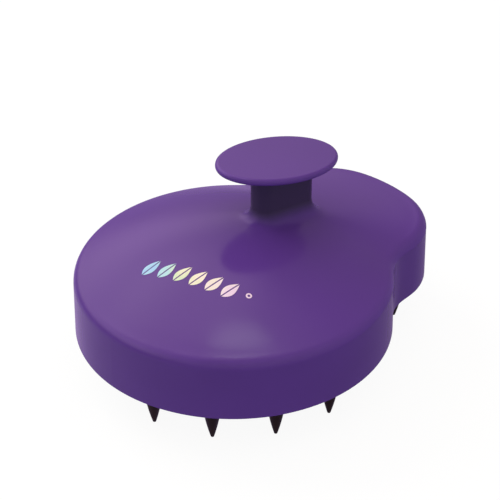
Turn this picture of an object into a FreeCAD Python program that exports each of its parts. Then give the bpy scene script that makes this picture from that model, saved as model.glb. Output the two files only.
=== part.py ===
# Palm-held massage brush: a hollow two-lobed body with a flat neck, an oval palm disc on top
# and soft conical tines below. Every separate piece is written to parts/NODE.step.
#
# Frame, in millimetres: +Z is up, and Z = 0 is the plane that the tine tips stand on.
# The origin is the centre of the footprint. -Y is the front, with the broad lobe,
# and +Y is the rear, with the narrow lobe. Everything is mirror-symmetric about X = 0
# except the outer row of tines and the holes and reliefs made for it.
import FreeCAD, Part
import math
import os
from FreeCAD import Vector

# Outline of the body at its rim, seen from above
FRONT_R = 40.0  # broad front lobe
CORNER_R = 20.0  # rounded corners of the rear lobe
CORNER_X = 4.0  # the corner centres stand this far off the axis
CORNER_AHEAD = 37.6  # and this far behind the front lobe's centre
WAIST_R = 13.3  # hollow curve between the lobes
REAR_R = 40.8  # flat curve across the rear
REAR_CENTRE_AHEAD = CORNER_AHEAD - math.sqrt((REAR_R - CORNER_R) ** 2 - CORNER_X ** 2)
LENGTH = FRONT_R + REAR_CENTRE_AHEAD + REAR_R
FRONT_Y = FRONT_R - LENGTH / 2  # the front lobe's centre

# Outside of the body, upwards from the rim
TINE_REACH = 11.0  # the tines stand this far below the rim
RIM_Z = TINE_REACH
SKIRT_H = 13.7  # straight part of the side wall
SKIRT_DRAFT = 0.25  # how far the side wall leans in over its straight part
EDGE_R = 3.0  # rounded edge between the side wall and the top
EDGE_SWEEP = 72.0  # degrees the edge turns through before the top takes over
NECK_BASE_Z = RIM_Z + 24.2  # level of the foot of the neck's flare
FLARE_R = 3.8
FLARE_START = 9.0  # degrees above level where the flare takes over from the top
START_RISE = 1.3  # slope of the top as it leaves the edge, as a share of its mean slope
END_RISE = 0.6  # and as it meets the flare

# Neck and palm disc
NECK_Y = FRONT_Y + 16.4
NECK_X_LEN = 6.6
NECK_Y_LEN = 18.4
NECK_CORNER_R = 3.0
DISC_Y = FRONT_Y + 14.85
DISC_Z = RIM_Z + 40.45
DISC_TILT = 9.7  # degrees; the disc falls towards the rear
DISC_A = 11.4  # half-width
DISC_B = 18.2  # half-length
DISC_T = 1.7
DISC_EDGE_R = 0.78

# Inside of the body, and what holds the disc
WALL = 2.0
TOP_WALL = 2.2
SLOT_X = 3.8  # slot down the neck for the disc's tongue
SLOT_Y = 13.6
SLOT_CORNER_R = 1.2
TONGUE_GAP = 0.08
TONGUE_END_GAP = 0.05  # the tongue stops this far short of the gasket
SEAT_X_LEN = 11.8  # boss under the neck that the gasket presses on
SEAT_Y_LEN = 22.4
SEAT_CORNER_R = 4.0
SEAT_DROP = 0.3  # the seat stands this far below the roof of the cavity
CLAMP_T = 1.8
CLAMP_INSET = 0.2  # gasket and clamp plate, inside the seat's edge
GASKET_T = 0.8
DISC_SCREW_Y = 4.4  # the disc's two screws stand this far either side of the neck's centre

# Pad and backing plate
PAD_RECESS = 1.5  # from the rim up to the pad's lower face
PAD_T = 2.0
PAD_GAP = 0.25  # pad to side wall at the rim; the wall leans in above it
LIP_T = 1.0  # the pad's lip round the plate's edge
LIP_GAP = 0.05
LIP_OVERLAP = 1.4  # how far the lip turns in over the plate
LIP_TOP_T = 0.9
PLATE_T = 2.6
PAD_Z = RIM_Z + PAD_RECESS
PLATE_Z = PAD_Z + PAD_T
PLATE_TOP_Z = PLATE_Z + PLATE_T
LIP_INSET = WALL + PAD_GAP + LIP_T
PLATE_INSET = LIP_INSET + LIP_GAP

# Tines
PIVOT_Z = PAD_Z + PAD_T / 2  # a tine bends about the middle of the pad
ROOT_R = 3.0  # ball root
ROOT_GAP = 0.05
ROOT_FLARE = 35.0  # degrees below the ball's middle where the cone leaves it
TINE_MID_R = 1.78  # radius halfway down, which gives the cone its slight belly
TIP_R = 0.42
RELIEF_R = 3.15  # relief in the plate above each root
RELIEF_DEPTH = 0.95
ROW_INSET = 6.6  # outer row, from the outline
ROW_COUNT = 15
ROW_START = 6.5  # first tine of the outer row, measured along it from the front
ROW_GAP = 23.0  # from the last tine of the row round to the first, wider than the even pitch
RING_R = 18.6  # ring of tines inside the front lobe
RING_COUNT = 8
REAR_TINE_AHEAD = 36.6  # the single tine inside the rear lobe

# Screws, which cut their own thread
SCREW_R = 1.1
SCREW_POINT_R = 0.2
PILOT_R = 1.05
PILOT_EXTRA = 1.0  # a pilot hole runs on this far past its screw
SCREW_HEAD_R = 2.1
SCREW_HEAD_H = 1.3
SCREW_HEAD_EDGE_R = 0.45
DISC_SCREW_LEN = 13.0
PLATE_SCREW_LEN = 9.0
PLATE_SCREW_RING_R = 26.8  # three plate screws stand on this ring in the front lobe
PLATE_SCREW_ANGLE = 77.0  # two of them this far round from the front, in degrees
PLATE_SCREW_REAR_X = 12.0  # and two more stand at the waist
PLATE_SCREW_REAR_AHEAD = 28.6
BOSS_R = 2.9
BOSS_GAP = 0.05
CLEAR_HOLE_R = 1.35
HEAD_SINK_R = 2.4
HEAD_SINK_GAP = 0.1
DRIVE_R = 0.75
DRIVE_DEPTH = 0.8

# Sections that the smooth skins are drawn through
SECTION_POINTS = 72
EDGE_STEPS = 5
TOP_STEPS = 8
FLARE_STEPS = 5


def polar(radius, degrees, x=0.0, y=0.0):
    """A point on a circle about (x, y)."""
    a = math.radians(degrees)
    return Vector(x + radius * math.cos(a), y + radius * math.sin(a), 0)


def arc(radius, start, end, x, y):
    """An arc from start to end, in degrees, about (x, y)."""
    middle = (start + end) / 2
    return Part.Arc(*(polar(radius, a, x, y) for a in (start, middle, end))).toShape()


def waist_centre():
    """Centre of the hollow waist curve on the +X side."""
    to_front = FRONT_R + WAIST_R
    to_corner = CORNER_R + WAIST_R
    apart = math.hypot(CORNER_X, CORNER_AHEAD)
    along = (to_front ** 2 - to_corner ** 2 + apart ** 2) / (2 * apart)
    across = math.sqrt(to_front ** 2 - along ** 2)
    ux, uy = CORNER_X / apart, CORNER_AHEAD / apart
    return Vector(ux * along + uy * across, FRONT_Y + uy * along - ux * across, 0)


def half_outline(inset):
    """Edges of the outline on the +X side, from the front round to the rear."""
    waist = waist_centre()
    corner_y = FRONT_Y + CORNER_AHEAD
    rear_y = FRONT_Y + REAR_CENTRE_AHEAD
    front_end = math.degrees(math.atan2(waist.y - FRONT_Y, waist.x))
    corner_start = math.degrees(math.atan2(waist.y - corner_y, waist.x - CORNER_X))
    corner_end = math.degrees(math.atan2(corner_y - rear_y, CORNER_X))
    return [
        arc(FRONT_R - inset, -90, front_end, 0, FRONT_Y),
        arc(WAIST_R + inset, 180 + front_end, 180 + corner_start, waist.x, waist.y),
        arc(CORNER_R - inset, corner_start, corner_end, CORNER_X, corner_y),
        arc(REAR_R - inset, corner_end, 90, 0, rear_y),
    ]


def full_points(edges):
    """Evenly spaced points along a half outline, carried round the -X side to close the ring."""
    half = Part.Wire(edges).discretize(Number=SECTION_POINTS // 2 + 1)
    return half + [Vector(-p.x, p.y, p.z) for p in reversed(half[1:-1])]


def outline_points(inset):
    return full_points(half_outline(inset))


def slab(inset, z, height):
    """The outline, filled, from z to z + height."""
    half = half_outline(inset)
    other = [e.mirror(Vector(0, 0, 0), Vector(1, 0, 0)) for e in half]
    face = Part.Face(Part.Wire(Part.__sortEdges__(half + other)))
    face.translate(Vector(0, 0, z))
    return face.extrude(Vector(0, 0, height))


def neck_points(grow):
    """Ring round the neck, grown outwards by grow."""
    rx, ry, rc = NECK_X_LEN / 2 + grow, NECK_Y_LEN / 2 + grow, NECK_CORNER_R + grow
    cx, cy = rx - rc, ry - rc
    return full_points([
        Part.makeLine(Vector(0, NECK_Y - ry, 0), Vector(cx, NECK_Y - ry, 0)),
        arc(rc, -90, 0, cx, NECK_Y - cy),
        Part.makeLine(Vector(rx, NECK_Y - cy, 0), Vector(rx, NECK_Y + cy, 0)),
        arc(rc, 0, 90, cx, NECK_Y + cy),
        Part.makeLine(Vector(cx, NECK_Y + ry, 0), Vector(0, NECK_Y + ry, 0)),
    ])


def tilt_drop(y):
    """How far the disc's tilted plane falls between the neck's centre and y."""
    return (y - NECK_Y) * math.tan(math.radians(DISC_TILT))


def rise(t):
    """Share of the top's height reached at share t of the way from the edge to the flare."""
    start = (t ** 3 - 2 * t ** 2 + t) * START_RISE
    end = (t ** 3 - t ** 2) * END_RISE
    return start + 3 * t ** 2 - 2 * t ** 3 + end


def ring(points, z, tilt=0.0):
    """Closed smooth curve through points at height z, leaning by a share of the disc's tilt."""
    raised = [Vector(p.x, p.y, z - tilt * tilt_drop(p.y)) for p in points]
    steps = [i / len(raised) for i in range(len(raised) + 1)]
    curve = Part.BSplineCurve()
    curve.interpolate(Points=raised, PeriodicFlag=True, Parameters=steps)
    return Part.Wire([curve.toShape()])


def edge_section(wall, turned):
    """Points and height of the rounded edge after turning through an angle, moved in by wall."""
    a = math.radians(turned)
    radius = EDGE_R - wall
    inset = wall + SKIRT_DRAFT + radius * (1 - math.cos(a))
    return outline_points(inset), RIM_Z + SKIRT_H + radius * math.sin(a)


def flare_section(turned):
    """Points and height of the flare, above its foot, after turning through an angle."""
    a = math.radians(turned)
    return neck_points(FLARE_R * (1 - math.sin(a))), FLARE_R * (1 - math.cos(a))


def crown_rings(wall, flare_foot_z):
    """Rings of the rounded edge and the top, moved in by wall, as far as the flare."""
    rings = []
    for i in range(EDGE_STEPS):
        edge, edge_z = edge_section(wall, EDGE_SWEEP * i / (EDGE_STEPS - 1))
        rings.append(ring(edge, edge_z))
    flare, flare_h = flare_section(FLARE_START)
    height = flare_foot_z + flare_h - edge_z
    for i in range(1, TOP_STEPS + 1):
        t = (1 - math.cos(math.pi * i / (TOP_STEPS + 1))) / 2
        points = [e + (f - e) * t for e, f in zip(edge, flare)]
        rings.append(ring(points, edge_z + height * rise(t), rise(t)))
    return rings


def flare_rings():
    """Rings of the flare, from where it meets the top to the straight neck."""
    rings = []
    for i in range(FLARE_STEPS + 1):
        points, height = flare_section(FLARE_START + (90 - FLARE_START) * i / FLARE_STEPS)
        rings.append(ring(points, NECK_BASE_Z + height, 1.0))
    return rings


def disc_underside_z():
    """Height of the disc's lower face over the neck's centre."""
    slope = math.radians(DISC_TILT)
    return DISC_Z - (NECK_Y - DISC_Y) * math.tan(slope) - DISC_T / 2 / math.cos(slope)


def outer_body():
    """The body's outside as one solid, from the rim to the top of the neck."""
    skirt_top = ring(outline_points(SKIRT_DRAFT), RIM_Z + SKIRT_H)
    skirt = Part.makeLoft([ring(outline_points(0), RIM_Z), skirt_top], True, True)
    rings = crown_rings(0.0, NECK_BASE_Z) + flare_rings()
    crown = Part.makeLoft(rings, True, False)
    neck = Part.makeLoft([rings[-1], ring(neck_points(0), disc_underside_z(), 1.0)], True, True)
    return skirt.fuse([crown, neck])


def cavity():
    """The space inside the body, open at the rim."""
    below = ring(outline_points(WALL), RIM_Z - 1)
    skirt_top = ring(outline_points(WALL + SKIRT_DRAFT), RIM_Z + SKIRT_H)
    skirt = Part.makeLoft([below, skirt_top], True, True)
    roof_z = NECK_BASE_Z - TOP_WALL
    roof = ring(neck_points(FLARE_R), roof_z, 1.0)
    return skirt.fuse(Part.makeLoft(crown_rings(WALL, roof_z) + [roof], True, False))


def bar(radius, z, height, place):
    """Upright round bar over a place, from z upwards."""
    return Part.makeCylinder(radius, height, Vector(place.x, place.y, z))


def block(x_len, y_len, corner, z, height):
    """Upright block with rounded corners about the neck's axis, from z upwards."""
    box = Part.makeBox(x_len, y_len, height, Vector(-x_len / 2, NECK_Y - y_len / 2, z))
    upright = [e for e in box.Edges if abs(e.BoundBox.ZLength - height) < 1e-6]
    return box.makeFillet(corner, upright)


def level_edges(shape):
    """Edges of an upright shape that lie in a level plane."""
    return [e for e in shape.Edges if e.BoundBox.ZLength < 1e-6]


def disc_screw_places():
    return [Vector(0, NECK_Y + side * DISC_SCREW_Y, 0) for side in (-1, 1)]


def plate_screw_places():
    """Where five screws hold the backing plate, clear of every tine."""
    places = [Vector(0, FRONT_Y - PLATE_SCREW_RING_R, 0)]
    for side in (-1, 1):
        places.append(polar(PLATE_SCREW_RING_R, -90 + side * PLATE_SCREW_ANGLE, 0, FRONT_Y))
        places.append(Vector(side * PLATE_SCREW_REAR_X, FRONT_Y + PLATE_SCREW_REAR_AHEAD, 0))
    return places


def gasket_top_z():
    """Level of the flat seat that the gasket presses on, below the lowest part of the roof."""
    return NECK_BASE_Z - TOP_WALL - SEAT_DROP - tilt_drop(NECK_Y + NECK_Y_LEN / 2 + FLARE_R)


def clamp_z():
    """Level of the clamp plate's lower face, where the screw heads bear."""
    return gasket_top_z() - GASKET_T - CLAMP_T


def along_row(edges, distance):
    """Point at a distance along a half outline's edges, measured from the front."""
    for edge in edges:
        if distance <= edge.Length:
            return edge.valueAt(edge.getParameterByLength(distance))
        distance -= edge.Length
    raise ValueError("the distance is longer than the half outline")


def tine_places():
    """Name and place of every tine: the outer row anticlockwise from the front, then the rest."""
    half = half_outline(ROW_INSET)
    reach = sum(edge.Length for edge in half)
    pitch = (2 * reach - ROW_GAP) / (ROW_COUNT - 1)
    places = {}
    for i in range(ROW_COUNT):
        distance = ROW_START + i * pitch
        side = 1 if distance <= reach else -1
        spot = along_row(half, distance if side > 0 else 2 * reach - distance)
        places[f"tine_outer_{i + 1:02d}"] = Vector(side * spot.x, spot.y, 0)
    for i in range(RING_COUNT):
        spot = polar(RING_R, -90 + (i + 0.5) * 360 / RING_COUNT, 0, FRONT_Y)
        places[f"tine_ring_{i + 1}"] = spot
    places["tine_front_centre"] = Vector(0, FRONT_Y, 0)
    places["tine_rear_centre"] = Vector(0, FRONT_Y + REAR_TINE_AHEAD, 0)
    return places


def tine_at(place):
    """A soft tine: a ball root cut flat on top, a slightly bellied cone and a round tip."""
    below = math.radians(ROOT_FLARE)
    top = Vector(math.sqrt(ROOT_R ** 2 - (PAD_T / 2) ** 2), 0, PAD_T / 2)
    neck = Vector(ROOT_R * math.cos(below), 0, -ROOT_R * math.sin(below))
    tip = Vector(0, 0, -PIVOT_Z)
    tip_side = tip + Vector(TIP_R, 0, TIP_R)
    belly = Vector(TINE_MID_R, 0, (neck.z + tip_side.z) / 2)
    corner = TIP_R * math.sqrt(0.5)
    tip_corner = tip + Vector(corner, 0, TIP_R - corner)
    edges = [
        Part.makeLine(Vector(0, 0, top.z), top),
        Part.Arc(top, Vector(ROOT_R, 0, 0), neck).toShape(),
        Part.Arc(neck, belly, tip_side).toShape(),
        Part.Arc(tip_side, tip_corner, tip).toShape(),
        Part.makeLine(tip, Vector(0, 0, top.z)),
    ]
    tine = Part.Face(Part.Wire(edges)).revolve(Vector(0, 0, 0), Vector(0, 0, 1), 360)
    return tine.translate(place + Vector(0, 0, PIVOT_Z))


def screw(place, bearing_z, length):
    """Pan-head screw, point up, whose head bears upwards at bearing_z, with a drive recess."""
    head_z = bearing_z - SCREW_HEAD_H
    head = bar(SCREW_HEAD_R, head_z, SCREW_HEAD_H, place)
    rim = [e for e in level_edges(head) if abs(e.BoundBox.ZMin - head_z) < 1e-6]
    head = head.makeFillet(SCREW_HEAD_EDGE_R, rim)
    shank = bar(SCREW_R, bearing_z, length - SCREW_R, place)
    point_start = Vector(place.x, place.y, bearing_z + length - SCREW_R)
    point = Part.makeCone(SCREW_R, SCREW_POINT_R, SCREW_R, point_start)
    drive = bar(DRIVE_R, head_z, DRIVE_DEPTH, place)
    return head.fuse([shank, point]).cut(drive).removeSplitter()


def top_shell():
    """Hollow body with its neck, the slot for the disc's tongue and the screw bosses."""
    body = outer_body()
    inside = body.common(slab(WALL / 2, RIM_Z, NECK_BASE_Z - RIM_Z))
    boss_z = PLATE_TOP_Z + BOSS_GAP
    bosses = [bar(BOSS_R, boss_z, NECK_BASE_Z - boss_z, p).common(inside)
              for p in plate_screw_places()]
    seat_z = gasket_top_z()
    seat = block(SEAT_X_LEN, SEAT_Y_LEN, SEAT_CORNER_R, seat_z, NECK_BASE_Z - seat_z)
    shell = body.cut(cavity()).fuse(bosses + [seat.common(body)])
    pilots = [bar(PILOT_R, PLATE_TOP_Z, PLATE_SCREW_LEN + PILOT_EXTRA, p)
              for p in plate_screw_places()]
    slot = block(SLOT_X, SLOT_Y, SLOT_CORNER_R, seat_z - 1, DISC_Z)
    return shell.cut(pilots + [slot]).removeSplitter()


def on_disc(shape):
    """Carries a shape from the disc's own level frame to its tilted place."""
    shape.rotate(Vector(0, 0, 0), Vector(1, 0, 0), -DISC_TILT)
    shape.translate(Vector(0, DISC_Y, DISC_Z))
    return shape


def palm_disc():
    """Oval disc with rounded edges, and the tongue that goes down the neck."""
    oval = Part.Ellipse(Vector(0, DISC_B, 0), Vector(-DISC_A, 0, 0), Vector(0, 0, 0)).toShape()
    disc = Part.Face(Part.Wire([oval])).extrude(Vector(0, 0, DISC_T))
    disc = disc.makeFillet(DISC_EDGE_R, level_edges(disc))
    disc = on_disc(disc.translate(Vector(0, 0, -DISC_T / 2)))
    above = on_disc(Part.makeBox(2 * DISC_B, 2 * DISC_B, DISC_B, Vector(-DISC_B, -DISC_B, 0)))
    tongue_z = gasket_top_z() + TONGUE_END_GAP
    tongue = block(SLOT_X - 2 * TONGUE_GAP, SLOT_Y - 2 * TONGUE_GAP, SLOT_CORNER_R - TONGUE_GAP,
                   tongue_z, DISC_Z + DISC_T - tongue_z).cut(above)
    pilot_len = clamp_z() + DISC_SCREW_LEN + PILOT_EXTRA - tongue_z
    pilots = [bar(PILOT_R, tongue_z, pilot_len, p) for p in disc_screw_places()]
    return disc.fuse(tongue).cut(pilots).removeSplitter()


def clamp_layer(z, height):
    """One layer of the clamp under the neck, with clearance holes for the disc's screws."""
    layer = block(SEAT_X_LEN - 2 * CLAMP_INSET, SEAT_Y_LEN - 2 * CLAMP_INSET,
                  SEAT_CORNER_R - CLAMP_INSET, z, height)
    return layer.cut([bar(CLEAR_HOLE_R, z, height, p) for p in disc_screw_places()])


def backing_plate(tines):
    """Stiff plate behind the pad, with a relief above each tine root and sunk screw holes."""
    plate = slab(PLATE_INSET, PLATE_Z, PLATE_T)
    reliefs = [bar(RELIEF_R, PLATE_Z, RELIEF_DEPTH, p) for p in tines.values()]
    sink_h = SCREW_HEAD_H + HEAD_SINK_GAP
    sinks = [bar(HEAD_SINK_R, PLATE_Z, sink_h, p) for p in plate_screw_places()]
    holes = [bar(CLEAR_HOLE_R, PLATE_Z, PLATE_T, p) for p in plate_screw_places()]
    return plate.cut(reliefs + sinks + holes)


def tine_pad(tines):
    """Soft pad with a lip round the backing plate, a socket for each tine root
    and a driver hole under each plate screw."""
    room_h = PLATE_T + LIP_GAP
    outside = slab(WALL + PAD_GAP, PAD_Z, PAD_T + room_h + LIP_TOP_T)
    plate_room = slab(LIP_INSET, PLATE_Z, room_h)
    opening = slab(LIP_INSET + LIP_OVERLAP, PLATE_Z, room_h + LIP_TOP_T)
    pivots = [p + Vector(0, 0, PIVOT_Z) for p in tines.values()]
    sockets = [Part.makeSphere(ROOT_R + ROOT_GAP, p) for p in pivots]
    driver_holes = [bar(HEAD_SINK_R, PAD_Z, PAD_T, p) for p in plate_screw_places()]
    return outside.cut([plate_room, opening] + sockets + driver_holes)


def write(name, *shapes):
    """Writes one node's solids to its STEP file."""
    solids = [solid for shape in shapes for solid in shape.Solids]
    Part.makeCompound(solids).exportStep(os.path.join("parts", name + ".step"))


def main():
    os.makedirs("parts", exist_ok=True)
    tines = tine_places()
    plate_bearing_z = PLATE_Z + HEAD_SINK_GAP + SCREW_HEAD_H
    write("top_shell", top_shell())
    write("palm_disc", palm_disc())
    write("neck_gasket", clamp_layer(clamp_z() + CLAMP_T, GASKET_T))
    write("disc_clamp_plate", clamp_layer(clamp_z(), CLAMP_T))
    write("disc_screws", *(screw(p, clamp_z(), DISC_SCREW_LEN) for p in disc_screw_places()))
    write("backing_plate", backing_plate(tines))
    write("plate_screws", *(screw(p, plate_bearing_z, PLATE_SCREW_LEN)
                            for p in plate_screw_places()))
    write("tine_pad", tine_pad(tines))
    for name, place in tines.items():
        write(name, tine_at(place))


main()
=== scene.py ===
import math

import bmesh
import bpy
from mathutils import Matrix, Vector
from mathutils.bvhtree import BVHTree


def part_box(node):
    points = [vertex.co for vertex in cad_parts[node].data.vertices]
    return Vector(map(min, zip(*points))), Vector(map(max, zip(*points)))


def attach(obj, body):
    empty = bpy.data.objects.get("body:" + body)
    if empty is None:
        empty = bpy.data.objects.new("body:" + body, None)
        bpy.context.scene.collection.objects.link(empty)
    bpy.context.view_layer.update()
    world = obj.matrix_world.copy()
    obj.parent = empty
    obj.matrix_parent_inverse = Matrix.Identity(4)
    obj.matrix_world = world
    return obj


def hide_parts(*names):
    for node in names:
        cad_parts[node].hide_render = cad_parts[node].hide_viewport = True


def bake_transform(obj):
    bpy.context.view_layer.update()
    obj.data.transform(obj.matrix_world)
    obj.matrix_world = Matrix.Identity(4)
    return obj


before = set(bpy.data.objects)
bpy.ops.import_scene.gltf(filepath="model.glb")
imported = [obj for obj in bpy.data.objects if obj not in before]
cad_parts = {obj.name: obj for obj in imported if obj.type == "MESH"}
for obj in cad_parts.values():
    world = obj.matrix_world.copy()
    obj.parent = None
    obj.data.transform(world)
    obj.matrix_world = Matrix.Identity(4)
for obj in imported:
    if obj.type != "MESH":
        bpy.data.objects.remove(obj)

# A palm-held massage brush. The hard parts keep their CAD shapes and get materials. The soft pad and
# its tines are new meshes.

MM = 0.001
QUARTER_TURN = math.pi / 2
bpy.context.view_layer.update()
BODY = "comb_body"

# Camera, in the row frame
CAM_TARGET = Vector((-10.65, 7.09, 19.10)) * MM
CAM_AZIMUTH = 46.25
CAM_ELEVATION = 33.63
CAM_DISTANCE = 450.9 * MM
CAM_LENS = 125.2
CAM_SENSOR = 36.0
CAM_SHIFT = (-0.002, 0.002)

# Floor. What the camera sees, what the gloss mirrors and what bounces onto the object are set apart.
FLOOR_HALF = 4.0
FLOOR_SEEN = 0.90
FLOOR_MOTTLE = (0.86, 0.90)
FLOOR_BOUNCE = 0.13
SHADOW_SHARE = 0.10
FLOOR_MIRRORED_DIM = 0.12
FLOOR_MIRRORED_BRIGHT = 0.42
FLOOR_MIRRORED_TINT = (0.94, 0.68, 1.22)
FLOOR_BRIGHT_BLEND = 70 * MM  # half the width of the step from the dim side to the bright one
FLOOR_BRIGHT_REACH = (90 * MM, 200 * MM)  # the bright side fades out between these distances

# Sky. A white surface lit by a sky of level 1 comes out white. A STEP holds the two ends of a soft step.
SKY_TOP = (0.84, 0.77, 0.70)
SKY_LOW = (0.90, 1.02, 1.40)
SKY_STEP = (-0.10, 0.60)
MIRRORED_TOWARD = (-0.93, -0.36)  # the side where the surroundings look bright in the gloss
MIRRORED_SIDE_STEP = (0.0, 0.85)
MIRRORED_RISE_STEP = (-0.05, 0.40)
MIRRORED_DIM = 0.18
MIRRORED_BRIGHT = 1.1
MIRRORED_TINT = (1.06, 0.82, 0.92)  # what the gloss mirrors is slightly pink
OVERHEAD = (-0.25, 0.0, 0.97)
OVERHEAD_STEP = (0.78, 0.95)
OVERHEAD_SHARE = 0.45
SHEEN = (-0.45, 0.10, 0.89)
SHEEN_STEP = (0.88, 0.99)
SHEEN_LEVEL = 0.6

# Lamps. The key lights the object and isn't mirrored; the glint is only seen mirrored.
LAMP_DISTANCE = 0.8
LAMP_AIM = Vector((0, 0, 30 * MM))
KEY_TOWARD = (-0.80, -0.10, 0.60)
KEY_SIZE = (0.5, 0.5)
KEY_LEVEL = 3.6
GLINT_TOWARD = (-0.012, 0.055, 0.998)
GLINT_LONG_AXIS = (0.51, 0.86, 0.0)
GLINT_SIZE = (0.29, 0.11)
GLINT_LEVEL = 2.0

# Colours, as linear RGB
PURPLE = (0.112, 0.042, 0.272)
# Painted shade: the colour the neck is darkened to under the disc, standing in for the disc's shadow on
# the same purple plastic
NECK_PAINTED_SHADE = (0.042, 0.033, 0.051)
PURPLE_INNER = (0.085, 0.030, 0.190)
BROWN = (0.0185, 0.0092, 0.0036)
BLACK = (0.012, 0.012, 0.012)
STEEL = (0.55, 0.55, 0.57)
FOIL_STOPS = (
    (0.00, (0.36, 0.62, 0.84)),
    (0.22, (0.46, 0.76, 0.76)),
    (0.42, (0.72, 0.84, 0.52)),
    (0.62, (0.93, 0.90, 0.66)),
    (0.85, (0.95, 0.84, 0.82)),
    (1.00, (0.90, 0.72, 0.86)),
)

# Outline of the body, in mm, about the front lobe's centre: a front arc, a hollow waist, a corner
# whose centre is CORNER_X to the side and CORNER_BEHIND towards the rear, and a flatter rear arc
FRONT_R = 40.0
WAIST_R = 13.3
CORNER_R = 20.0
CORNER_X = 4.0
CORNER_BEHIND = 37.6
REAR_R = 40.8


# ---------------------------------------------------------------- small helpers

def lowest(node):
    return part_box(node)[0]


def centre(node):
    low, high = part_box(node)
    return (low + high) / 2


FRONT_CENTRE = centre("tine_front_centre")
RIM_Z = lowest("top_shell").z
PAD_Z = lowest("tine_pad").z
PAD_TOP_Z = lowest("backing_plate").z

# The neck's middle, the foot of its flare and the disc's tilt, as in the CAD
NECK_Y = FRONT_CENTRE.y + 16.4 * MM
NECK_FOOT_Z = RIM_Z + 24.2 * MM
DISC_TILT = math.radians(9.7)


def link_object(name, data):
    obj = bpy.data.objects.new(name, data)
    bpy.context.scene.collection.objects.link(obj)
    return obj


def finished_object(name, bm, material, smooth=True):
    """Turns a bmesh into a linked object with its normals outwards."""
    bmesh.ops.recalc_face_normals(bm, faces=bm.faces)
    mesh = bpy.data.meshes.new(name)
    bm.to_mesh(mesh)
    bm.free()
    for polygon in mesh.polygons:
        polygon.use_smooth = smooth
    mesh.materials.append(material)
    return link_object(name, mesh)


def new_object(name, verts, faces, material, smooth=True):
    raw = bpy.data.meshes.new(name + "_raw")
    raw.from_pydata([tuple(v) for v in verts], [], faces)
    raw.validate()
    bm = bmesh.new()
    bm.from_mesh(raw)
    bpy.data.meshes.remove(raw)
    return finished_object(name, bm, material, smooth)


# ---------------------------------------------------------------- materials

class Nodes:
    """A short way to wire a node tree."""

    def __init__(self, owner, coordinate="Object"):
        owner.use_nodes = True
        self.owner = owner
        self.tree = owner.node_tree
        self.position = self.add("ShaderNodeTexCoord").outputs[coordinate]

    def add(self, kind, **settings):
        node = self.tree.nodes.new(kind)
        for key, value in settings.items():
            setattr(node, key, value)
        return node

    def link(self, source, target):
        self.tree.links.new(source, target)

    def put(self, target, value):
        """Sets an input from a number, a colour or another node's output."""
        if hasattr(value, "links"):
            self.link(value, target)
        elif isinstance(value, tuple) and target.type == "RGBA":
            target.default_value = (*value, 1.0)
        else:
            target.default_value = value

    def noise(self, per_metre, detail=2.0, rough=0.5, stretch=(1, 1, 1)):
        mapping = self.add("ShaderNodeMapping")
        mapping.inputs["Scale"].default_value = stretch
        self.link(self.position, mapping.inputs["Vector"])
        node = self.add("ShaderNodeTexNoise")
        node.inputs["Scale"].default_value = per_metre
        node.inputs["Detail"].default_value = detail
        node.inputs["Roughness"].default_value = rough
        self.link(mapping.outputs["Vector"], node.inputs["Vector"])
        return node.outputs["Fac"]

    def ramp(self, value, low, high, to_low=0.0, to_high=1.0):
        node = self.add("ShaderNodeMapRange", interpolation_type="SMOOTHSTEP")
        for name, v in (("Value", value), ("From Min", low), ("From Max", high),
                        ("To Min", to_low), ("To Max", to_high)):
            self.put(node.inputs[name], v)
        return node.outputs["Result"]

    def math(self, operation, *values):
        node = self.add("ShaderNodeMath", operation=operation)
        for socket, v in zip(node.inputs, values):
            self.put(socket, v)
        return node.outputs[0]

    def mix(self, share, a, b):
        node = self.add("ShaderNodeMixRGB")
        for socket, v in zip(node.inputs, (share, a, b)):
            self.put(socket, v)
        return node.outputs["Color"]

    def grey(self, value, tint=(1.0, 1.0, 1.0)):
        """A grey of any level, or a tinted one."""
        node = self.add("ShaderNodeCombineColor")
        for socket, share in zip(node.inputs, tint):
            self.put(socket, self.math("MULTIPLY", value, share))
        return node.outputs[0]

    def bump(self, height, strength, distance, below=None):
        node = self.add("ShaderNodeBump")
        node.inputs["Strength"].default_value = strength
        node.inputs["Distance"].default_value = distance
        self.link(height, node.inputs["Height"])
        if below is not None:
            self.link(below, node.inputs["Normal"])
        return node.outputs["Normal"]

    def axes(self):
        node = self.add("ShaderNodeSeparateXYZ")
        self.link(self.position, node.inputs[0])
        return node.outputs

    def level_edges(self):
        """1 on rounded edges that face half upwards, 0 on the walls and on level faces."""
        normal = self.add("ShaderNodeSeparateXYZ")
        self.link(self.add("ShaderNodeNewGeometry").outputs["Normal"], normal.inputs[0])
        up = normal.outputs["Z"]
        return self.math("MULTIPLY", self.ramp(up, 0.10, 0.45), self.ramp(up, 0.65, 0.87, 1.0, 0.0))

    def principled(self, **inputs):
        """Sets the Principled shader's inputs and returns the material."""
        for name, value in inputs.items():
            self.put(self.tree.nodes["Principled BSDF"].inputs[name.replace("_", " ")], value)
        return self.owner


def material_nodes(name):
    return Nodes(bpy.data.materials.new(name))


def scaled(colour, share, more=0.0):
    return tuple(c * share + more for c in colour)


# Moulded plastic. A noise's scale is in marks per metre. The shell's roughness, with its patches and
# wear, is at most 0.27, because the denoiser draws a false line where a surface crosses 0.274.
SHELL_ROUGH = 0.20
FLOW_PER_M = 26.0
SCUFFS_PER_M = 190.0
HANDLED_PER_M = 45.0
SKIN_PER_M = 520.0
SKIN_HEIGHT = 0.06 * MM
HANDLED_SMOOTHER, HANDLED_ROUGHER = 0.05, 0.04
WEAR_LIGHTENS = 0.12
WEAR_ROUGHENS = 0.03
PLASTIC_SPECULAR = 0.5
# The neck's painted shade: how little it mirrors, how far it darkens the plastic and where it fades in
NECK_SPECULAR = 0.2
NECK_SHADE_SHARE = 0.85
NECK_SHADE_STEP = (-0.4 * MM, 3.8 * MM)  # about the neck's foot


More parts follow.
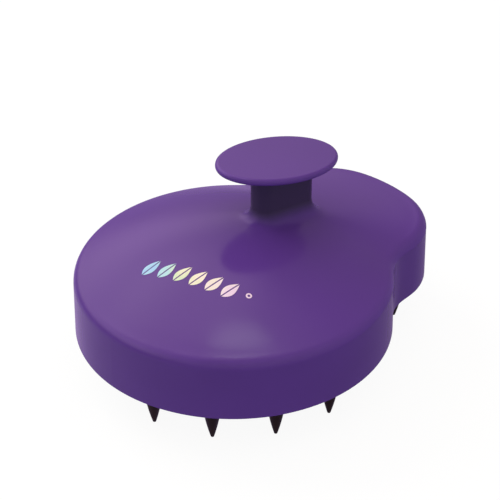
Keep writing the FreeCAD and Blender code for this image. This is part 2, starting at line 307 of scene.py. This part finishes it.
def neck_shade(n):
    """Where the neck's painted shade goes: 0 on the top of the body, rising to 1 up the neck's flare."""
    _, y, z = n.axes()
    fall = n.math("MULTIPLY", n.math("SUBTRACT", y, NECK_Y), math.tan(DISC_TILT))
    low, high = (NECK_FOOT_Z + h for h in NECK_SHADE_STEP)
    return n.ramp(n.math("ADD", z, fall), low, high)


def moulded_plastic(name, colour, shade=None, rough=SHELL_ROUGH):
    """Semi-gloss moulded plastic: faint flow marks, a fine skin and softly worn edges. A shade mask adds
    painted shade under the disc.
    """
    n = material_nodes(name)
    flow = n.ramp(n.noise(FLOW_PER_M, stretch=(1.0, 0.55, 1.6)), 0.1, 0.9)
    body = n.mix(flow, scaled(colour, 0.90), scaled(colour, 1.10))
    scuffs = n.ramp(n.noise(SCUFFS_PER_M, stretch=(1.0, 1.0, 2.5)), 0.0, 1.0)
    worn = n.math("MULTIPLY", n.level_edges(), scuffs)
    body = n.mix(n.math("MULTIPLY", worn, WEAR_LIGHTENS), body, scaled(colour, 1.7, more=0.02))
    specular = PLASTIC_SPECULAR
    # Painted shade: the neck is darkened towards plum and mirrors less, standing in for the disc's shadow
    if shade is not None:
        shaded = shade(n)
        body = n.mix(n.math("MULTIPLY", shaded, NECK_SHADE_SHARE), body, NECK_PAINTED_SHADE)
        specular = n.ramp(shaded, 0.0, 0.5, PLASTIC_SPECULAR, NECK_SPECULAR)
    handled = n.ramp(n.noise(HANDLED_PER_M, detail=1.0), 0.0, 1.0,
                     rough - HANDLED_SMOOTHER, rough + HANDLED_ROUGHER)
    handled = n.math("MULTIPLY_ADD", worn, WEAR_ROUGHENS, handled)
    normal = n.bump(n.noise(SKIN_PER_M, detail=0.0), strength=0.05, distance=SKIN_HEIGHT)
    return n.principled(Base_Color=body, Roughness=handled, Normal=normal, IOR=1.49,
                        Specular_IOR_Level=specular)


# Rubber
CLOUD_PER_M = 160.0
CLOUD_HEIGHT = 0.3 * MM
GRAIN_PER_M = 1500.0
GRAIN_HEIGHT = 0.04 * MM
TIP_WEAR_HEIGHT = 1.6 * MM
TIP_WEAR_SHARE = 0.25
RUBBER_SPECULAR = 0.22


def soft_rubber(name, colour, rough):
    """Satin elastomer: a matt, cloudy skin with fine grain, a little paler at the tines' tips."""
    n = material_nodes(name)
    cloud = n.noise(CLOUD_PER_M, detail=3.0)
    body = n.mix(n.ramp(cloud, 0.3, 0.7), scaled(colour, 0.8), scaled(colour, 1.3))
    height = n.axes()["Z"]
    at_tip = n.ramp(height, 0.0, TIP_WEAR_HEIGHT, 1.0, 0.0)
    worn = n.math("MULTIPLY", at_tip, n.ramp(cloud, 0.2, 0.8))
    body = n.mix(n.math("MULTIPLY", worn, TIP_WEAR_SHARE), body, scaled(colour, 2.5, more=0.006))
    normal = n.bump(cloud, strength=0.10, distance=CLOUD_HEIGHT)
    grain = n.noise(GRAIN_PER_M, detail=1.0)
    normal = n.bump(grain, strength=0.10, distance=GRAIN_HEIGHT, below=normal)
    finish = n.ramp(cloud, 0.3, 0.7, rough - 0.06, rough + 0.08)
    return n.principled(Base_Color=body, Roughness=finish, Normal=normal, IOR=1.45,
                        Specular_IOR_Level=RUBBER_SPECULAR)


# Metals
TURNING_PER_M = 2500.0
TURNING_HEIGHT = 0.02 * MM
FOIL_DRIFT_PER_M = 300.0
FOIL_GRAIN_PER_M = 1200.0
FOIL_GRAIN_HEIGHT = 0.03 * MM


def turned_steel(name):
    """Plated steel with fine turning marks."""
    n = material_nodes(name)
    marks = n.ramp(n.noise(TURNING_PER_M, detail=3.0, stretch=(1.0, 1.0, 8.0)), 0.3, 0.7)
    body = n.mix(marks, scaled(STEEL, 0.75), STEEL)
    finish = n.ramp(marks, 0.0, 1.0, 0.22, 0.38)
    return n.principled(Base_Color=body, Metallic=1.0, Roughness=finish,
                        Normal=n.bump(marks, strength=0.2, distance=TURNING_HEIGHT))


def foil_material(name, start, end):
    """Stamped iridescent foil whose tint runs from one end of the motif to the other."""
    n = material_nodes(name)
    x, y, _ = n.axes()
    run = end - start
    along = n.math("ADD", n.math("MULTIPLY", n.math("SUBTRACT", x, start.x), run.x),
                   n.math("MULTIPLY", n.math("SUBTRACT", y, start.y), run.y))
    share = n.math("DIVIDE", along, run.length_squared)
    patches = n.noise(FOIL_DRIFT_PER_M, detail=1.0)
    drift = n.math("MULTIPLY", n.math("SUBTRACT", patches, 0.5), 0.5)
    ramp = n.add("ShaderNodeValToRGB")
    stops = ramp.color_ramp.elements
    stops[0].position, stops[0].color = FOIL_STOPS[0][0], (*FOIL_STOPS[0][1], 1)
    stops[1].position, stops[1].color = FOIL_STOPS[-1][0], (*FOIL_STOPS[-1][1], 1)
    for place, colour in FOIL_STOPS[1:-1]:
        stops.new(place).color = (*colour, 1)
    n.link(n.math("ADD", share, drift), ramp.inputs["Fac"])
    normal = n.bump(n.noise(FOIL_GRAIN_PER_M), strength=0.1, distance=FOIL_GRAIN_HEIGHT)
    return n.principled(Base_Color=ramp.outputs["Color"], Metallic=0.3, Roughness=0.35,
                        Normal=normal)


# ---------------------------------------------------------------- body outline

def outline(inset, steps=240):
    """Plan points in metres round the body's outline, anticlockwise from the front, moved in by
    an inset in mm."""
    rear_behind = CORNER_BEHIND - math.sqrt((REAR_R - CORNER_R) ** 2 - CORNER_X ** 2)
    # The waist's arc touches the front arc and the corner arc, which sets how far apart their centres are
    from_front, from_corner = FRONT_R + WAIST_R, CORNER_R + WAIST_R
    apart = math.hypot(CORNER_X, CORNER_BEHIND)
    along = (from_front ** 2 - from_corner ** 2 + apart ** 2) / (2 * apart)
    across = math.sqrt(from_front ** 2 - along ** 2)
    ux, uy = CORNER_X / apart, CORNER_BEHIND / apart
    waist_x, waist_y = ux * along + uy * across, uy * along - ux * across
    at_front = math.atan2(waist_y, waist_x)
    at_corner = math.atan2(waist_y - CORNER_BEHIND, waist_x - CORNER_X)
    at_rear = math.atan2(CORNER_BEHIND - rear_behind, CORNER_X)
    arcs = (  # centre, radius, and the angles where each arc starts and ends
        (0, 0, FRONT_R - inset, -QUARTER_TURN, at_front),
        (waist_x, waist_y, WAIST_R + inset, math.pi + at_front, math.pi + at_corner),
        (CORNER_X, CORNER_BEHIND, CORNER_R - inset, at_corner, at_rear),
        (0, rear_behind, REAR_R - inset, at_rear, QUARTER_TURN),
    )
    lengths = [abs(end - start) * r for _, _, r, start, end in arcs]
    half = steps // 2
    points = []
    for i in range(half + 1):
        left = sum(lengths) * i / half
        for (x, y, r, start, end), length in zip(arcs, lengths):
            if left <= length + 1e-9:
                a = start + (end - start) * left / length
                points.append((x + r * math.cos(a), y + r * math.sin(a)))
                break
            left -= length
    points += [(-x, y) for x, y in reversed(points[1:-1])]
    return [(x * MM + FRONT_CENTRE.x, y * MM + FRONT_CENTRE.y) for x, y in points]


# ---------------------------------------------------------------- soft pieces

TINE_STEPS = 36
TINE_FLARE_R = 3.7 * MM
TINE_SUNK = 0.012 * MM  # the flare's foot goes this far into the pad
TINE_FILLET_H = 1.15 * MM
TINE_FILLET_STEPS = 8
TINE_CONE_STEPS = 22
TINE_TIP_R = 0.36 * MM
TINE_TIP_H = 0.8 * TINE_TIP_R
TINE_TIP_STEPS = 6
TINE_SLOPE = 0.297  # growth of the radius with height at the tip
TINE_BELLY = 10.07  # and how fast that growth falls off, per metre


def cone_radius(z):
    return TINE_TIP_R + TINE_SLOPE * z - TINE_BELLY * z * z


def tine_profile(top_z):
    """(radius, height) pairs of a tine, from its flare at the pad down to its round tip."""
    points = [(TINE_FLARE_R, top_z + TINE_SUNK)]
    fillet_z = top_z - TINE_FILLET_H
    for i in range(1, TINE_FILLET_STEPS + 1):
        a = QUARTER_TURN * i / TINE_FILLET_STEPS
        r = TINE_FLARE_R - (TINE_FLARE_R - cone_radius(fillet_z)) * math.sin(a)
        points.append((r, top_z - TINE_FILLET_H * (1 - math.cos(a))))
    for i in range(1, TINE_CONE_STEPS + 1):
        z = fillet_z + (TINE_TIP_H - fillet_z) * i / TINE_CONE_STEPS
        points.append((cone_radius(z), z))
    last_r = points[-1][0]
    for i in range(1, TINE_TIP_STEPS):
        a = QUARTER_TURN * i / TINE_TIP_STEPS
        points.append((last_r * math.cos(a), TINE_TIP_H * (1 - math.sin(a))))
    return points


def add_tine(node, material):
    """A lathed tine in its node's place, which it replaces."""
    place = centre(node)
    profile = tine_profile(PAD_Z)
    turns = [(k, (k + 1) % TINE_STEPS) for k in range(TINE_STEPS)]
    verts, faces = [], []
    for r, z in profile:
        for k in range(TINE_STEPS):
            a = 2 * math.pi * k / TINE_STEPS
            verts.append((place.x + r * math.cos(a), place.y + r * math.sin(a), z))
    for j in range(len(profile) - 1):
        upper, lower = j * TINE_STEPS, (j + 1) * TINE_STEPS
        faces += [(upper + k, upper + m, lower + m, lower + k) for k, m in turns]
    tip = len(verts)
    verts.append((place.x, place.y, 0.0))
    last = tip - TINE_STEPS
    faces += [(last + k, last + m, tip) for k, m in turns]
    faces.append(tuple(reversed(range(TINE_STEPS))))
    tine = new_object("soft_" + node, verts, faces, material)
    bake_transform(tine)
    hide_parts(node)


SCREW_APART = 8.0 * MM  # a vertex nearer than this to a screw's first one belongs to that screw

# The pad, in mm. Insets are from the body's outline.
PAD_THICK = (PAD_TOP_Z - PAD_Z) / MM
PAD_INSET = 2.12
PAD_EDGE_R = 0.5
PAD_FACE_INSET = 2.80
HOLE_STEPS = 40
HOLE_FACE_R = 3.05
HOLE_LIP_START_R = 2.95
HOLE_LIP_R = 0.45
HOLE_TOP_R = 2.42
ROUND_STEPS = 6


def screw_spots():
    """Centres of the plate screws, found as the separate groups of their node's vertices."""
    groups = []
    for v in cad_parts["plate_screws"].data.vertices:
        p = Vector((v.co.x, v.co.y, 0))
        for group in groups:
            if (group[0] - p).length < SCREW_APART:
                group.append(p)
                break
        else:
            groups.append([p])
    middles = []
    for group in groups:
        xs, ys = [p.x for p in group], [p.y for p in group]
        middles.append(Vector(((min(xs) + max(xs)) / 2, (min(ys) + max(ys)) / 2, 0)))
    return middles


def pad_side():
    """(inset, height) pairs up the pad's skirt, from its top edge round to its face."""
    side = [(PAD_INSET, PAD_THICK)]
    for i in range(ROUND_STEPS + 1):
        a = QUARTER_TURN * i / ROUND_STEPS
        side.append((PAD_INSET + PAD_EDGE_R * (1 - math.cos(a)), PAD_EDGE_R * (1 - math.sin(a))))
    side.append((PAD_FACE_INSET, 0.0))
    return side


def hole_side():
    """(radius, height) pairs up a screw's hole, from the pad's face round its lip to the top."""
    side = [(HOLE_FACE_R, 0.0), (HOLE_LIP_START_R, 0.0)]
    for i in range(1, ROUND_STEPS + 1):
        a = QUARTER_TURN * i / ROUND_STEPS
        side.append((HOLE_LIP_START_R - HOLE_LIP_R * math.sin(a), HOLE_LIP_R * (1 - math.cos(a))))
    side.append((HOLE_TOP_R, PAD_THICK))
    return side


def circle(middle, radius):
    turns = [2 * math.pi * k / HOLE_STEPS for k in range(HOLE_STEPS)]
    return [(middle.x + radius * math.cos(a), middle.y + radius * math.sin(a)) for a in turns]


def add_pad(material):
    """The soft pad: a rounded skirt, a flat face and a lipped hole under each screw."""
    bm = bmesh.new()

    def wall(rings):
        """Bridges (plan points, height) rings and gives the first and the last as vertices."""
        loops = [[bm.verts.new((x, y, PAD_Z + h * MM)) for x, y in points] for points, h in rings]
        for a, b in zip(loops, loops[1:]):
            for i in range(len(a)):
                j = (i + 1) % len(a)
                bm.faces.new((a[i], a[j], b[j], b[i]))
        return loops[0], loops[-1]

    def fill(loops):
        edges = [bm.edges.get(ends) for loop in loops for ends in zip(loop, loop[1:] + loop[:1])]
        bmesh.ops.triangle_fill(bm, use_beauty=True, edges=edges)

    skirt_top, skirt_face = wall([(outline(inset), h) for inset, h in pad_side()])
    face, top = [skirt_face], [skirt_top]
    for spot in screw_spots():
        hole_face, hole_top = wall([(circle(spot, r * MM), h) for r, h in hole_side()])
        face.append(hole_face)
        top.append(hole_top)
    fill(face)
    fill(top)
    pad = finished_object("soft_pad", bm, material)
    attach(pad, BODY)
    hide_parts("tine_pad")


# ---------------------------------------------------------------- foil motif

# Places are in plan, in the row frame
MOTIF_START = Vector((-7.2, -33.3)) * MM
MOTIF_END = Vector((17.2, -25.0)) * MM
MOTIF_RISE = 2.1 * MM  # the drops' middles stand this far above the line between the ends
DROPS = 6
DROP_LENGTH = 5.6 * MM
DROP_HALF_WIDTH = 1.55 * MM
DROP_POINTEDNESS = 0.75  # a lower value makes both ends blunter
DROP_FOOT_SHARE = 1.22  # of the half width
DROP_NARROWING = 0.6  # what is taken from that share by the tip
DROP_LEAN = math.radians(-24)
DROP_SPLIT = 0.16 * MM  # half the gap down a drop's middle
DROP_ROWS, DROP_COLUMNS = 22, 5
RING_PLACE = Vector((18.6, -21.6)) * MM
RING_R = 0.75 * MM
RING_STEPS = 24
RING_SHARES = (0.45, 0.75, 1.0)  # the inner edge, the middle and the outer edge
FOIL_LIFT = 0.05 * MM
ABOVE_ALL = 0.1  # a height that is above the whole object


def surface_tree(node):
    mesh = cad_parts[node].data
    points = [v.co for v in mesh.vertices]
    return BVHTree.FromPolygons(points, [tuple(p.vertices) for p in mesh.polygons])


def laid_patch(tree, spots, columns, verts, faces):
    """Adds a grid of plan points, row by row, laid on the surface from above."""
    first = len(verts)
    for spot in spots:
        hit, normal, _, _ = tree.ray_cast(Vector((spot.x, spot.y, ABOVE_ALL)), Vector((0, 0, -1)))
        verts.append(hit + normal * FOIL_LIFT)
    for i in range(len(spots) // columns - 1):
        for j in range(columns - 1):
            a = first + i * columns + j
            faces.append((a, a + 1, a + columns + 1, a + columns))


def half_drop(middle, up, side):
    """Plan points over one half of a drop, row by row from its foot to its tip."""
    spots = []
    for i in range(DROP_ROWS + 1):
        s = i / DROP_ROWS
        width = DROP_HALF_WIDTH * math.sin(math.pi * s) ** DROP_POINTEDNESS
        half = width * (DROP_FOOT_SHARE - DROP_NARROWING * s)
        for j in range(DROP_COLUMNS):
            w = DROP_SPLIT + max(0.0, half - DROP_SPLIT) * j / (DROP_COLUMNS - 1)
            spots.append(middle + up * (s - 0.5) * DROP_LENGTH + side * w)
    return spots


def add_motif(material):
    """A row of slanted drops in foil, each split down its middle, and a small ring after them."""
    tree = surface_tree("top_shell")
    run = MOTIF_END - MOTIF_START
    along = run.normalized()
    across = Vector((-along.y, along.x))
    up = across * math.cos(DROP_LEAN) - along * math.sin(DROP_LEAN)
    side = along * math.cos(DROP_LEAN) + across * math.sin(DROP_LEAN)
    verts, faces = [], []
    for d in range(DROPS):
        middle = MOTIF_START + run * ((d + 0.5) / DROPS) + across * MOTIF_RISE
        for hand in (-1, 1):
            laid_patch(tree, half_drop(middle, up, side * hand), DROP_COLUMNS, verts, faces)
    turns = [2 * math.pi * k / RING_STEPS for k in range(RING_STEPS + 1)]
    spots = [RING_PLACE + Vector((math.cos(a), math.sin(a))) * RING_R * share
             for a in turns for share in RING_SHARES]
    laid_patch(tree, spots, len(RING_SHARES), verts, faces)
    motif = new_object("foil_drops", verts, faces, material)
    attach(motif, BODY)


# ---------------------------------------------------------------- stage

def view_axes(azimuth, elevation):
    """Right, up and backward directions of a camera that looks along +Y at azimuth 0."""
    a, e = math.radians(azimuth), math.radians(elevation)
    back = Vector((math.sin(a) * math.cos(e), -math.cos(a) * math.cos(e), math.sin(e)))
    right = Vector((math.cos(a), math.sin(a), 0))
    return right, back.cross(right), back


def add_camera():
    right, up, back = view_axes(CAM_AZIMUTH, CAM_ELEVATION)
    data = bpy.data.cameras.new("camera")
    data.sensor_width = CAM_SENSOR
    data.lens = CAM_LENS
    data.shift_x, data.shift_y = CAM_SHIFT
    data.clip_start = 0.01
    camera = link_object("camera", data)
    turn = Matrix((right, up, back)).transposed().to_4x4()
    camera.matrix_world = Matrix.Translation(CAM_TARGET + back * CAM_DISTANCE) @ turn
    bpy.context.scene.camera = camera


def floor_shader(n):
    """From above the floor looks almost shadowless and lights the object little. It is clear from
    below, so that the underside can be looked at."""
    mottle = n.ramp(n.noise(6.0), 0.3, 0.7, *FLOOR_MOTTLE)
    n.principled(Base_Color=n.grey(mottle), Roughness=0.8, Specular_IOR_Level=0.1)
    ray = n.add("ShaderNodeLightPath").outputs
    glow = n.add("ShaderNodeEmission")
    x, y, _ = n.axes()
    toward = n.math("ADD", n.math("MULTIPLY", x, MIRRORED_TOWARD[0]),
                    n.math("MULTIPLY", y, MIRRORED_TOWARD[1]))
    squares = n.math("ADD", n.math("MULTIPLY", x, x), n.math("MULTIPLY", y, y))
    near = n.ramp(n.math("SQRT", squares), *FLOOR_BRIGHT_REACH, 1.0, 0.0)
    bright = n.math("MULTIPLY", n.ramp(toward, -FLOOR_BRIGHT_BLEND, FLOOR_BRIGHT_BLEND), near)
    mirrored = n.ramp(bright, 0.0, 1.0, FLOOR_MIRRORED_DIM, FLOOR_MIRRORED_BRIGHT)
    level = n.math("ADD", n.math("MULTIPLY", ray["Is Camera Ray"], FLOOR_SEEN),
                   n.math("MULTIPLY", ray["Is Glossy Ray"], mirrored))
    n.link(n.math("ADD", level, FLOOR_BOUNCE), glow.inputs["Strength"])
    tint = n.mix(ray["Is Glossy Ray"], (1.0, 1.0, 1.0), FLOOR_MIRRORED_TINT)
    n.link(tint, glow.inputs["Color"])

    def blended(share, first, second):
        node = n.add("ShaderNodeMixShader")
        for socket, source in zip(node.inputs, (share, first, second)):
            n.link(source, socket)
        return node.outputs[0]

    lit = n.math("MULTIPLY", ray["Is Camera Ray"], SHADOW_SHARE)
    lit_floor = n.tree.nodes["Principled BSDF"].outputs[0]
    above = blended(n.math("SUBTRACT", 1.0, lit), lit_floor, glow.outputs[0])
    from_below = n.add("ShaderNodeNewGeometry").outputs["Backfacing"]
    clear = n.add("ShaderNodeBsdfTransparent").outputs[0]
    n.link(blended(from_below, above, clear), n.tree.nodes["Material Output"].inputs["Surface"])


def add_floor():
    """A plain pale floor."""
    n = material_nodes("floor")
    floor_shader(n)
    corners = [(x * FLOOR_HALF, y * FLOOR_HALF, 0) for x, y in ((-1, -1), (1, -1), (1, 1), (-1, 1))]
    new_object("floor", corners, [(0, 1, 2, 3)], n.owner, smooth=False)


def add_area(name, toward, size, level, long_axis=(1, 0, 0), shape="RECTANGLE"):
    """A softbox that faces the object from a direction. Its level is its brightness to the eye."""
    data = bpy.data.lights.new(name, "AREA")
    data.shape = shape
    data.size, data.size_y = size
    area = size[0] * size[1] * (math.pi / 4 if shape == "ELLIPSE" else 1)
    data.energy = level * math.pi * area
    lamp = link_object(name, data)
    back = Vector(toward).normalized()
    up = back.cross(Vector(long_axis)).normalized()
    turn = Matrix((up.cross(back), up, back)).transposed().to_4x4()
    lamp.matrix_world = Matrix.Translation(LAMP_AIM + back * LAMP_DISTANCE) @ turn
    lamp.visible_camera = False
    return lamp


def add_world():
    """Soft light all round, cooler low down. The gloss mirrors a bright left side and two soft
    patches overhead, and the camera sees white."""
    world = bpy.data.worlds.new("studio")
    n = Nodes(world, "Generated")
    x, y, z = n.axes()
    diffuse = n.mix(n.ramp(z, *SKY_STEP), SKY_LOW, SKY_TOP)

    def facing(toward):
        parts = [n.math("MULTIPLY", axis, share) for axis, share in zip((x, y, z), toward)]
        return n.math("ADD", n.math("ADD", parts[0], parts[1]), parts[2])

    side = n.math("MULTIPLY", n.ramp(facing((*MIRRORED_TOWARD, 0.0)), *MIRRORED_SIDE_STEP),
                  n.ramp(z, *MIRRORED_RISE_STEP))
    overhead = n.ramp(facing(OVERHEAD), *OVERHEAD_STEP, 0.0, OVERHEAD_SHARE)
    bright = n.math("MAXIMUM", side, overhead)
    sheen = n.ramp(facing(SHEEN), *SHEEN_STEP, 0.0, SHEEN_LEVEL)
    level = n.math("MULTIPLY_ADD", bright, MIRRORED_BRIGHT - MIRRORED_DIM, MIRRORED_DIM)
    mirrored = n.math("ADD", sheen, level)
    ray = n.add("ShaderNodeLightPath").outputs
    shown = n.mix(ray["Is Glossy Ray"], diffuse, n.grey(mirrored, MIRRORED_TINT))
    shown = n.mix(ray["Is Camera Ray"], shown, (1.0, 1.0, 1.0))
    n.link(shown, n.tree.nodes["Background"].inputs["Color"])
    bpy.context.scene.world = world


def add_lights():
    add_world()
    key = add_area("key", KEY_TOWARD, KEY_SIZE, KEY_LEVEL)
    key.visible_glossy = False
    glint = add_area("glint", GLINT_TOWARD, GLINT_SIZE, GLINT_LEVEL,
                     long_axis=GLINT_LONG_AXIS, shape="ELLIPSE")
    glint.visible_diffuse = False
    bpy.context.scene.view_settings.view_transform = "Standard"


# ---------------------------------------------------------------- build

shell_plastic = moulded_plastic("body_plastic", PURPLE, shade=neck_shade)
disc_plastic = moulded_plastic("disc_plastic", PURPLE)
plate_plastic = moulded_plastic("plate_plastic", PURPLE_INNER, rough=0.55)
tine_rubber = soft_rubber("tine_rubber", BROWN, rough=0.42)
pad_rubber = soft_rubber("pad_rubber", BROWN, rough=0.55)
gasket_rubber = soft_rubber("gasket_rubber", BLACK, rough=0.6)
screw_steel = turned_steel("screw_steel")

NODE_MATERIALS = {
    "top_shell": shell_plastic,
    "palm_disc": disc_plastic,
    "backing_plate": plate_plastic,
    "neck_gasket": gasket_rubber,
    "disc_clamp_plate": screw_steel,
    "disc_screws": screw_steel,
    "plate_screws": screw_steel,
}
for node, material in NODE_MATERIALS.items():
    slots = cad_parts[node].data.materials
    slots.clear()
    slots.append(material)

for node in sorted(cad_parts):
    if node.startswith("tine_") and node != "tine_pad":
        add_tine(node, tine_rubber)
add_pad(pad_rubber)
add_motif(foil_material("foil", MOTIF_START, MOTIF_END))

add_camera()
add_floor()
add_lights()
